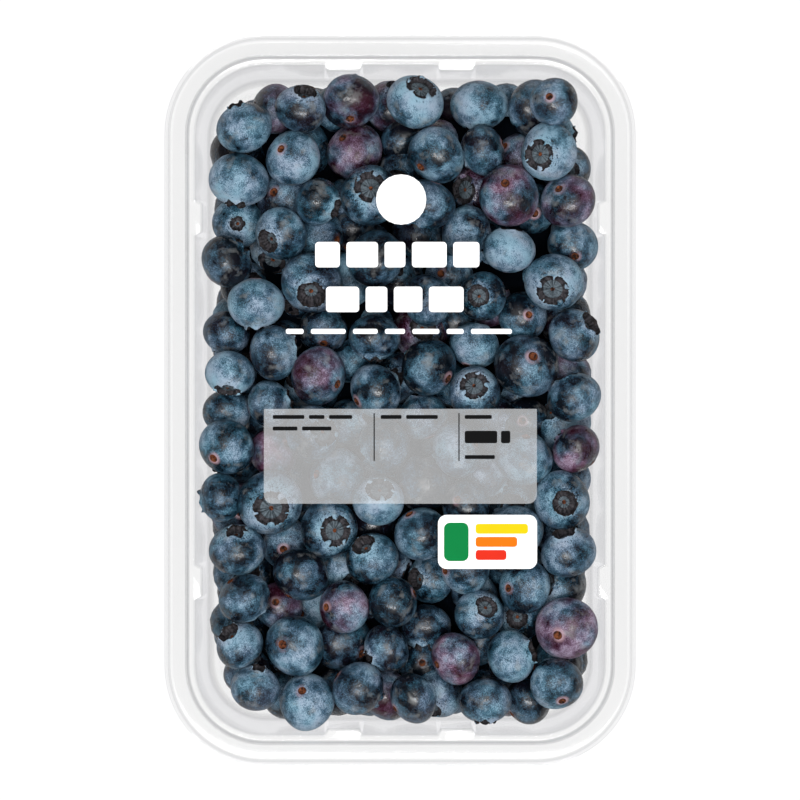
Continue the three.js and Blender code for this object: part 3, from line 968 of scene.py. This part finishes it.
@dataclass
class BerryCopies:
    """The mesh data of many copies of one mould, gathered copy by copy and then made into one mesh."""

    unit: Piece
    mouth: float
    waves: int = 3
    wave_height: float = 0.015
    wave_rate: tuple[float, float] = (2.2, 4.2)
    breadth_range: tuple[float, float] = (0.95, 1.0)
    height_range: tuple[float, float] = (0.97, 1.03)
    grain_range: tuple[float, float] = (0.0, 900.0)
    bloom_range: tuple[float, float] = (-0.12, 0.12)
    plum_range: tuple[float, float] = (-0.05, 0.12)
    rim_fade: tuple[float, float] = (1.3, 2.2)
    places: list[Array] = field(default_factory=list)
    grains: list[Array] = field(default_factory=list)
    blooms: list[Array] = field(default_factory=list)
    plums: list[Array] = field(default_factory=list)

    def __post_init__(self) -> None:
        """Reads the mould's mesh into arrays."""
        mesh = self.unit.data
        self.corners = self.read(mesh.vertices, "co", np.empty(len(mesh.vertices) * 3)).reshape(-1, 3)
        self.loops = self.read(mesh.loops, "vertex_index", np.empty(len(mesh.loops), np.int32))
        self.starts = self.read(mesh.polygons, "loop_start", np.empty(len(mesh.polygons), np.int32))
        self.marks = self.read(mesh.polygons, "material_index", np.empty(len(mesh.polygons), np.int32))

    @staticmethod
    def read(rows: bpy.types.bpy_prop_collection, name: str, values: Array) -> Array:
        """Reads one kind of value of a mesh into an array."""
        rows.foreach_get(name, values)
        return values

    def near_crown(self) -> Array:
        """How near each of the mould's vertices is to the crown's rim, from 0 to 1."""
        out = np.hypot(self.corners[:, 0], self.corners[:, 1])
        full, fade = self.rim_fade
        near = np.clip(full - fade * np.maximum(out - self.mouth, 0) / self.mouth, 0, 1)
        return np.where(self.corners[:, 2] > 0, near, 0)

    def lumps(self, rng: Random) -> Array:
        """Swells and dents one copy a little, by slow waves."""
        swell = np.ones(len(self.corners))
        for _ in range(self.waves):
            way = rng.normal(size=3)
            wave = self.corners @ (way / np.linalg.norm(way)) * rng.uniform(*self.wave_rate)
            swell += self.wave_height * np.sin(wave + rng.uniform(0, math.tau))
        return swell[:, None]

    def add(self, place: Array, axis: Array, radius: float, tone: Tone, rng: Random) -> None:
        """Adds a copy.

        Args:
            place: The berry's middle, in millimetres.
            axis: The way its crown points.
            radius: Its radius in millimetres.
            tone: Its bloom and its plum colour.
            rng: Draws its spin, its exact form and the place of its mottles.
        """
        turn = UP.rotation_difference(Vector(axis)).to_matrix()
        turn = np.array(turn @ Matrix.Rotation(rng.uniform(0, math.tau), 3, "Z"))
        stretch = np.array([1.0, rng.uniform(*self.breadth_range), rng.uniform(*self.height_range)])
        local = self.corners * self.lumps(rng) * stretch * radius
        self.places.append(local @ turn.T + place)
        self.grains.append(local + rng.uniform(*self.grain_range, 3))
        bloom, plum = tone.value
        self.blooms.append(np.full(len(self.corners), bloom + rng.uniform(*self.bloom_range)))
        plum = np.clip(plum + rng.uniform(*self.plum_range), 0, 1)
        self.plums.append(np.full(len(self.corners), plum))

    def join(self) -> Piece:
        """Makes one mesh of all copies, with the attributes that the skin reads."""
        count = len(self.places)
        bpy.data.objects.remove(self.unit)
        mesh = bpy.data.meshes.new("berries")
        mesh.vertices.add(len(self.corners) * count)
        mesh.vertices.foreach_set("co", (np.concatenate(self.places) * MM).ravel())
        shift = np.arange(count, dtype=np.int32)[:, None]
        mesh.loops.add(len(self.loops) * count)
        mesh.loops.foreach_set("vertex_index", (self.loops[None, :] + shift * len(self.corners)).ravel())
        mesh.polygons.add(len(self.starts) * count)
        mesh.polygons.foreach_set("loop_start", (self.starts[None, :] + shift * len(self.loops)).ravel())
        mesh.polygons.foreach_set("material_index", np.tile(self.marks, count))
        mesh.update(calc_edges=True)
        mesh.shade_smooth()
        for name, values in (("berry_place", np.concatenate(self.grains)),
                             ("berry_unit", np.tile(self.corners, (count, 1)))):
            mesh.attributes.new(name, "FLOAT_VECTOR", "POINT").data.foreach_set("vector", values.ravel())
        for name, values in (("bloom", np.concatenate(self.blooms)), ("plum", np.concatenate(self.plums)),
                             ("near_crown", np.tile(self.near_crown(), count))):
            mesh.attributes.new(name, "FLOAT", "POINT").data.foreach_set("value", values)
        piece = bpy.data.objects.new("berries", mesh)
        bpy.context.collection.objects.link(piece)
        return piece


@dataclass
class BerryHeap:
    """The modelled berries of the heap, joined into a fine and a coarse mesh for each kind of crown."""

    heap: Heap
    shown_depth: float = 15.0
    shown_above: float = 24.0
    fine_above: float = 34.0
    look_seed: int = 4127
    crown_shares: tuple[float, ...] = (0.2, 0.38, 0.16, 0.14, 0.12)
    tone_shares: tuple[float, ...] = (0.10, 0.28, 0.34, 0.11, 0.17)
    low_steps: int = 20
    low_bands: int = 8
    settled: int = field(init=False, default=0)
    moulds: tuple[BerryMould, ...] = (
        BerryMould(STAR, 0.54, 0.40, 0.58, 0.06, 0.13, 0.33, (1.1, 0.5, 1.2, 0.75, 0.9), 60, ragged=0.028,
                   sharpness=2.2),
        BerryMould(CUP, 0.45, 0.37, 0.48, 0.12, 0.24, 0.20, (1.0, 0.7, 1.2, 0.9, 0.5), collar=0.04),
        BerryMould(FOLDED, 0.42, 0.21, 0.36, 0.09, 0.16, 0.13, (1.0, 0.75, 1.1, 0.6, 0.9), sharpness=0.8),
        BerryMould(WORN, 0.47, 0.42, 0.47, 0.06, 0.13, 0.29, (0.9, 0.4, 0.7, 0.3, 0.8)),
        BerryMould(SMALL, 0.31, 0.22, 0.31, 0.11, 0.16, 0.12, (1.0, 0.8, 0.9, 1.0, 0.6), collar=0.02),
    )

    def shown(self) -> Array:
        """The numbers of the berries that show through the film, the walls or the floor."""
        tray, p = self.heap.tray, self.heap.place
        inset = tray.wall_inset(p[:, 2]) + self.shown_depth
        by_wall = (np.abs(p[:, 0]) > tray.width / 2 - inset) | (np.abs(p[:, 1]) > tray.length / 2 - inset)
        low = p[:, 2] < tray.panel_top + self.shown_depth
        return np.flatnonzero(by_wall | low | (p[:, 2] > self.shown_above))

    def looks(self) -> list[tuple[Crown, Tone]]:
        """Gives each berry a crown and a tone: its own if it is on top, or else drawn, with darker tones
        painted as shade on those in the gaps.
        """
        rng = np.random.default_rng(self.look_seed)
        count = len(self.heap.place)
        crowns = rng.choice(len(Crown), count, p=self.crown_shares)
        tones = rng.choice(len(Tone), count, p=self.tone_shares)
        drawn = [(list(Crown)[c], list(Tone)[t]) for c, t in zip(crowns, tones)]
        # Painted shade: the berries that fill the gaps get the darker tones SLATE or INK, for the shade deep
        # in the heap.
        shaded_filling = [(crown, SLATE if tone is PALE else INK) for crown, tone in drawn[self.settled:]]
        return [(b.crown, b.tone) for b in TOP_BERRIES] + drawn[len(TOP_BERRIES):self.settled] + shaded_filling

    def build(self, materials: list[Material]) -> None:
        """Models the berries of each kind and joins them, the lower ones from a coarser mould.

        Args:
            materials: The skin, the recess, the disc, the scar and the lobes' insides.
        """
        heap = self.heap
        heap.start()
        heap.settle()
        self.settled = len(heap.place)
        GapFiller(heap).fill()
        LOG.info("%d small berries fill gaps", len(heap.place) - self.settled)
        looks = self.looks()
        shown = self.shown()
        LOG.info("%d berries settle, and %d of them show", len(heap.place), len(shown))
        for mould in self.moulds:
            same = [i for i in shown if looks[i][0] is mould.kind]
            fine = [i for i in same if heap.place[i, 2] > self.fine_above]
            coarse = [i for i in same if heap.place[i, 2] <= self.fine_above]
            low_mould = replace(mould, steps=self.low_steps, bands=self.low_bands)
            self.lay(mould, fine, looks, materials, f"berries_{mould.kind.value}")
            self.lay(low_mould, coarse, looks, materials, f"low_berries_{mould.kind.value}")

    def lay(self, mould: BerryMould, chosen: list[int], looks: list[tuple[Crown, Tone]],
            materials: list[Material], name: str) -> None:
        """Lays copies of a mould at the places of some berries.

        Args:
            mould: The kind of berry.
            chosen: The berries' numbers.
            looks: All berries' crowns and tones.
            materials: The skin, the recess, the disc, the scar and the lobes' insides.
            name: The piece's name.
        """
        copies = BerryCopies(mould.unit(), mould.mouth)
        rng = np.random.default_rng(self.look_seed + len(chosen))
        heap = self.heap
        for i in chosen:
            copies.add(heap.place[i], heap.axis[i], heap.width[i] / 2, looks[i][1], rng)
        piece = copies.join()
        finish_piece(piece, name, materials)
        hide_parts("berries")


@dataclass
class HeapShadeCore:
    """A near-black block in the middle of the heap, painted shade that shows only as darkness between the
    berries.
    """

    tray: TrayShape
    depth: float = 11.0
    lift: float = 7.0
    top: float = 34.0
    cuts: int = 5
    lumps: float = 2.4
    seed: int = 11
    rounding: int = 2

    def build(self, material: Material) -> None:
        """Models a block with rounded, lumpy sides in the heap, of near-black painted shade."""
        tray = self.tray
        inset = tray.foot_inset + self.depth
        low, high = tray.panel_top + self.lift, self.top
        deselect_all()
        bpy.ops.mesh.primitive_cube_add(size=1, location=(0, 0, (low + high) / 2 * MM))
        piece = bpy.context.object
        piece.scale = ((tray.width - 2 * inset) * MM, (tray.length - 2 * inset) * MM, (high - low) * MM)
        apply_transform()
        with editing(piece):
            bpy.ops.mesh.subdivide(number_cuts=self.cuts)
            bpy.ops.mesh.select_all(action="SELECT")
            bpy.ops.transform.vertex_random(offset=self.lumps * MM, seed=self.seed)
        smooth = piece.modifiers.new("round", "SUBSURF")
        smooth.levels = smooth.render_levels = self.rounding
        apply_modifiers(piece)
        bpy.ops.object.shade_smooth()
        finish_piece(piece, "heap_shade_core", [material])
        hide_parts("berries")


def rounded_sheet(width: float, length: float, corner: float, height: float, segments: int = 14,
                  square_top: bool = False) -> Piece:
    """Makes a level sheet with round corners.

    Args:
        width: Its size along X, in millimetres.
        length: Its size along Y, in millimetres.
        corner: The radius of its corners, in millimetres.
        height: How high it lies, in millimetres.
        segments: The steps round each corner.
        square_top: Whether the two corners with the larger Y stay square.

    Returns:
        The sheet, facing up, about the upright axis.
    """
    deselect_all()
    bpy.ops.mesh.primitive_plane_add(size=1, location=(0, 0, height * MM))
    sheet = bpy.context.object
    sheet.scale = (width * MM, length * MM, 1)
    apply_transform()
    with editing(sheet):
        pick_vertices(sheet, lambda place: not square_top or place.y < 0)
        bpy.ops.mesh.bevel(offset=corner * MM, segments=segments, affect="VERTICES", profile=0.5)
    return sheet


def thicken(piece: Piece, thickness: float, offset: float) -> None:
    """Gives a sheet its thickness.

    Args:
        piece: The sheet.
        thickness: The thickness in millimetres.
        offset: -1 to grow below the sheet, 1 to grow above it.
    """
    wall = piece.modifiers.new("wall", "SOLIDIFY")
    wall.thickness = thickness * MM
    wall.offset = offset
    wall.use_even_offset = True


@dataclass
class Tray:
    """The clear thermoformed tray: skirt, flange, ledge, walls with ribs, and a floor on a foot ring."""

    shape: TrayShape
    crease: float = 0.2
    crease_steps: int = 3
    crease_angle: float = 14.0
    smooth_angle: float = 35.0
    rib_reach: tuple[float, float] = (7.2, 9.0)
    rib_slack: float = 0.05
    rib_top: float = 0.2

    def section(self) -> list[tuple[float, float]]:
        """The tray's upper side from the skirt's edge to the floor's middle, as inset and height."""
        s = self.shape
        top, ledge = s.flange_top, s.ledge_top
        skirt = [(0.0, top - 3.2), (0.3, top - 1.5), (1.0, top - 1.2), (1.25, top - 0.35), (2.1, top)]
        step = [(5.9, top), (6.6, ledge), (7.9, ledge), (s.top_inset, s.top_height)]
        wall = [(s.foot_inset, s.foot_height), (10.9, 2.9), (11.5, 1.7), (12.3, 0.9), (13.4, s.wall)]
        return skirt + step + wall + [(17.5, s.wall), (19.0, s.panel_top), (26.0, s.panel_top)]

    def press_ribs(self, piece: Piece, rib: tuple[float, float, float], along: Vector) -> None:
        """Cuts the sheet at the edges of two facing walls' ribs, and presses the ribs' tops in.

        Args:
            piece: The tray's sheet, in edit mode.
            rib: Where the rib's middle is along the wall, half its length and its depth, in millimetres.
            along: The direction along these walls.
        """
        s = self.shape
        centre, half_length, depth = rib
        across = Vector((along.y, along.x, 0))
        half_width = (s.width if along.y else s.length) / 2
        chamfer = half_length + s.rib_chamfer
        nearest, farthest = self.rib_reach
        for side in (-1, 1):
            for cut in (-chamfer, -half_length, half_length, chamfer):
                bpy.ops.mesh.select_all(action="SELECT")
                bpy.ops.mesh.bisect(plane_co=along * ((side * centre + cut) * MM), plane_no=along)
        for side in (-1, 1):
            for wall in (-1, 1):
                def on_rib(place: Vector) -> bool:
                    off = abs(place.dot(along) / MM - side * centre)
                    inset = half_width - wall * place.dot(across) / MM
                    high = place.z / MM > s.top_height - self.rib_top
                    return off < half_length + self.rib_slack and nearest < inset < farthest and high

                pick_vertices(piece, on_rib)
                bpy.ops.transform.translate(value=across * (-wall * depth * MM))

    def build(self, material: Material) -> None:
        """Models the tray from its outline by insets, of the clear plastic."""
        s = self.shape
        section = self.section()
        piece = rounded_sheet(s.width, s.length, s.corner, section[0][1])
        with editing(piece):
            bpy.ops.mesh.select_mode(type="FACE")
            bpy.ops.mesh.select_all(action="SELECT")
            for (inset, height), (next_inset, next_height) in zip(section, section[1:]):
                bpy.ops.mesh.inset(thickness=(next_inset - inset) * MM, depth=(next_height - height) * MM,
                                   use_even_offset=True)
        with editing(piece):
            self.press_ribs(piece, s.long_rib, Vector((0, 1, 0)))
            self.press_ribs(piece, s.short_rib, Vector((1, 0, 0)))
        soften = piece.modifiers.new("crease", "BEVEL")
        soften.width = self.crease * MM
        soften.segments = self.crease_steps
        soften.limit_method = "ANGLE"
        soften.angle_limit = math.radians(self.crease_angle)
        thicken(piece, s.wall, -1)
        apply_modifiers(piece)
        bpy.ops.object.shade_smooth_by_angle(angle=math.radians(self.smooth_angle))
        finish_piece(piece, "clear_tray", [material])
        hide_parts("tray")


@dataclass
class LidFilm:
    """The clear film sealed on the flange."""

    tray: TrayShape
    inset: float = 1.9
    gap: float = 0.1
    thickness: float = 0.08

    @property
    def top(self) -> float:
        """The height of the film's upper side."""
        return self.tray.flange_top + self.gap + self.thickness

    def build(self, material: Material) -> None:
        """Models the film, of its clear plastic."""
        tray = self.tray
        width, length = tray.width - 2 * self.inset, tray.length - 2 * self.inset
        piece = rounded_sheet(width, length, tray.corner - self.inset, self.top)
        thicken(piece, self.thickness, -1)
        apply_modifiers(piece)
        finish_piece(piece, "sealed_film", [material])
        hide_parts("lid_film")


@dataclass(frozen=True)
class Field:
    """A flat field of print: the place of its middle, its size and its corners, in millimetres."""

    x: float
    y: float
    width: float
    length: float
    corner: float
    square_top: bool = False


@dataclass
class FilmPrint:
    """The print on the film, as plain fields of colour."""

    height: float
    layer: float = 0.03
    gap: float = 0.01
    corner_steps: int = 6

    def field(self, spot: Field, level: int = 0) -> Piece:
        """Lays one field of ink on the film.

        Args:
            spot: Its place and size.
            level: 0 on the film, and more on other print.

        Returns:
            The field.
        """
        low = self.height + self.gap + level * (self.layer + self.gap)
        piece = rounded_sheet(spot.width, spot.length, spot.corner, low + self.layer, self.corner_steps,
                              spot.square_top)
        thicken(piece, self.layer, -1)
        apply_modifiers(piece)
        piece.location = (spot.x * MM, spot.y * MM, 0)
        return piece

    def fields(self, name: str, spots: list[Field], material: Material, level: int = 0) -> None:
        """Lays several fields of one ink as one piece.

        Args:
            name: The piece's name.
            spots: The fields.
            material: The ink.
            level: 0 on the film, and more on other print.
        """
        made = [self.field(spot, level) for spot in spots]
        deselect_all()
        for piece in made:
            piece.select_set(True)
        bpy.context.view_layer.objects.active = made[0]
        if len(made) > 1:
            bpy.ops.object.join()
        finish_piece(made[0], name, [material])

    @staticmethod
    def row(left: float, y: float, widths: tuple[float, ...], gap: float, length: float,
            corner: float) -> list[Field]:
        """Sets fields side by side in a row.

        Args:
            left: Where the row starts.
            y: The row's middle.
            widths: The fields' widths.
            gap: The space between two.
            length: Their size along Y.
            corner: The radius of their corners.

        Returns:
            The fields.
        """
        made = []
        for width in widths:
            made.append(Field(left + width / 2, y, width, length, corner))
            left += width + gap
        return made

    def build(self) -> None:
        """Prints the badge, the title bars, the thin line, the pale panel with its marks, and the tag."""
        white = Ink("white ink", srgb(255, 255, 255)).material()
        dark = Ink("dark ink", srgb(3, 3, 4)).material()
        self.fields("print_badge", [Field(0.3, 52.0, 13.0, 13.0, 6.4)], white)
        title = self.row(-22.0, 37.7, (6.4, 8.2, 5.4, 9.0, 6.8), 1.7, 6.6, 0.9)
        title += self.row(-19.2, 26.1, (8.6, 5.6, 7.4, 9.0), 1.7, 6.6, 0.9)
        self.fields("print_title", title, white)
        line = self.row(-29.6, 17.8, (4.6, 9.0, 6.4, 5.2, 7.0, 4.4, 10.6), 1.9, 1.3, 0.5)
        self.fields("print_line", line, white)
        panel = Ink("thin pale ink", srgb(233, 234, 235), cover=0.18).material()
        self.fields("print_panel", [Field(0.1, -14.6, 70.8, 24.6, 2.3, True)], panel)
        marks = [Field(-6.7, -9.6, 0.3, 12.4, 0.1), Field(15.3, -9.6, 0.3, 12.4, 0.1)]
        for left, y, widths, gap, length, corner in (
            (-33.0, -4.4, (8.2, 4.0, 6.0), 1.2, 1.0, 0.3),
            (-33.0, -7.4, (6.4, 7.6), 1.2, 1.0, 0.3),
            (-5.0, -4.4, (5.4, 8.2), 1.2, 1.0, 0.3),
            (16.8, -4.4, (7.0,), 1.2, 1.0, 0.3),
            (16.8, -9.6, (8.4, 2.4), 1.0, 3.2, 0.5),
            (16.8, -14.8, (7.8,), 1.0, 1.0, 0.3),
        ):
            marks += self.row(left, y, widths, gap, length, corner)
        self.fields("print_marks", marks, dark, level=1)
        self.fields("print_tag", [Field(22.7, -36.8, 25.7, 14.0, 2.2)], white)
        tag_fields = {
            "green": (srgb(0, 118, 58), [Field(14.6, -36.8, 6.4, 10.0, 1.6)]),
            "yellow": (srgb(244, 190, 8), [Field(26.4, -33.4, 13.6, 2.6, 0.8)]),
            "orange": (srgb(228, 110, 6), [Field(25.0, -36.8, 10.8, 2.6, 0.8)]),
            "red": (srgb(208, 42, 22), [Field(23.6, -40.2, 8.0, 2.6, 0.8)]),
        }
        for name, (colour, spots) in tag_fields.items():
            self.fields(f"print_tag_{name}", spots, Ink(f"{name} ink", colour).material(), level=1)


@dataclass(frozen=True)
class Lamp:
    """A soft oblong lamp: where it hangs, its sizes along X and Y in metres, and its power in watts."""

    name: str
    place: tuple[float, float, float]
    width: float
    length: float
    power: float


@dataclass
class Studio:
    """A pale lit table, soft light from above, and a camera that looks straight down."""

    look_at: Vector
    frame_width: float = 0.2075
    distance: float = 3.0
    sensor: float = 36.0
    dome: float = 1.22
    horizon: float = 0.13
    backdrop: float = 0.93
    dome_edge: float = 0.84
    dome_fade: float = 0.2
    hole_edge: float = 0.982
    hole_fade: float = 0.012
    table_glow: float = 0.96
    table_size: float = 6.0
    lamps: tuple[Lamp, ...] = (
        Lamp("key", (-0.04, -0.40, 1.7), 1.2, 0.34, 25.0),
        Lamp("fill", (0.10, 0.34, 1.7), 0.5, 0.16, 4.0),
    )

    def floor(self) -> None:
        """Lays the pale floor, a table that is lit from inside."""
        deselect_all()
        bpy.ops.mesh.primitive_plane_add(size=self.table_size, location=(0, 0, 0))
        ground = bpy.context.object
        ground.name = "floor"
        s = Shader(bpy.data.materials.new("pale floor"))
        ground.data.materials.append(s.principled({
            "Base Color": s.blend(s.noise(s.object_place(), 3.0), srgb(70, 70, 70), srgb(74, 74, 74)),
            "Roughness": 0.9,
            "Specular IOR Level": 0.0,
            "Emission Color": (1.0, 1.0, 1.0, 1.0),
            "Emission Strength": self.table_glow,
        }))

    def hang(self, lamp: Lamp) -> None:
        """Hangs a lamp so that it points at the punnet."""
        data = bpy.data.lights.new(lamp.name, "AREA")
        data.shape = "RECTANGLE"
        data.size = lamp.width
        data.size_y = lamp.length
        data.energy = lamp.power
        hung = bpy.data.objects.new(lamp.name, data)
        hung.location = lamp.place
        hung.rotation_mode = "QUATERNION"
        hung.rotation_quaternion = (Vector(lamp.place) - self.look_at).to_track_quat("Z", "Y")
        bpy.context.collection.objects.link(hung)

    def sky(self) -> None:
        """Lights the scene from a wide soft dome in a pale room.

        The dome is dark straight above, where the film would mirror it, and the camera sees only the room.
        """
        world = bpy.data.worlds.new("studio")
        bpy.context.scene.world = world
        s = Shader(world)
        up = s.node("SeparateXYZ", {0: s.node("TexCoord").outputs["Generated"]}).outputs["Z"]
        heights = (0.0, self.dome_edge - self.dome_fade, self.dome_edge, self.hole_edge - self.hole_fade,
                   self.hole_edge)
        horizon, lit, dark, room = ((grey, grey, grey, 1) for grey in (self.horizon, 1.0, 0.0, self.backdrop))
        colour = s.ramp(up, heights, (horizon, horizon, lit, lit, dark))
        dome = s.node("Background", {"Color": colour, "Strength": self.dome}).outputs[0]
        backdrop = s.node("Background", {"Color": room}).outputs[0]
        seen = s.node("LightPath").outputs["Is Camera Ray"]
        s.surface(s.node("MixShader", {0: seen, 1: dome, 2: backdrop}))

    def camera(self) -> None:
        """Puts the camera high over the punnet, with a long lens."""
        data = bpy.data.cameras.new("camera")
        data.sensor_width = self.sensor
        data.lens = self.sensor * self.distance / self.frame_width
        camera = bpy.data.objects.new("camera", data)
        camera.location = self.look_at + UP * self.distance
        bpy.context.collection.objects.link(camera)
        bpy.context.scene.camera = camera

    def build(self) -> None:
        """Sets up the floor, the lamps, the sky and the camera."""
        self.floor()
        for lamp in self.lamps:
            self.hang(lamp)
        self.sky()
        self.camera()
        bpy.context.scene.view_settings.view_transform = "Standard"


def main() -> None:
    """Builds the studio and every piece, and reports them."""
    logging.basicConfig(level=logging.INFO, format="%(message)s")
    low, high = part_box("tray")
    shape = TrayShape(width=(high[0] - low[0]) / MM, length=(high[1] - low[1]) / MM, flange_top=high[2] / MM)
    Studio(look_at=Vector((0.0, 0.0, high[2]))).build()
    finishes = (
        BerrySkin(),
        DriedSkin("crown recess", srgb(12, 13, 16), srgb(68, 65, 69), 1.6, 0.75, ridges=0.5),
        DriedSkin("crown disc", srgb(38, 46, 52), srgb(98, 110, 118), 1.6, 0.7, ridges=0.65),
        DriedSkin("corky scar", srgb(16, 8, 7), srgb(112, 62, 36), 1.2, 0.8),
        DriedSkin("dried lobe", srgb(8, 8, 9), srgb(44, 38, 38), 1.3, 0.75),
    )
    BerryHeap(Heap(shape)).build([finish.material() for finish in finishes])
    # Painted shade: a near-black material for the block that stands for the shade deep in the heap.
    dark = DriedSkin("dark heap", srgb(2, 4, 6), srgb(8, 12, 18), 0.3, 1.0, gloss=0.0)
    HeapShadeCore(shape).build(dark.material())
    Tray(shape).build(ClearPlastic("clear tray plastic").material())
    faint = srgb(254, 254, 254)
    clearer = ClearPlastic("clear film", faint, faint, faint, steep=srgb(251, 251, 251),
                           edge_on=srgb(246, 246, 246), ior=1.3, most_gleam=0.5, roughness=0.03)
    film = LidFilm(shape)
    film.build(clearer.material())
    FilmPrint(film.top).build()


if __name__ == "__main__":
    main()
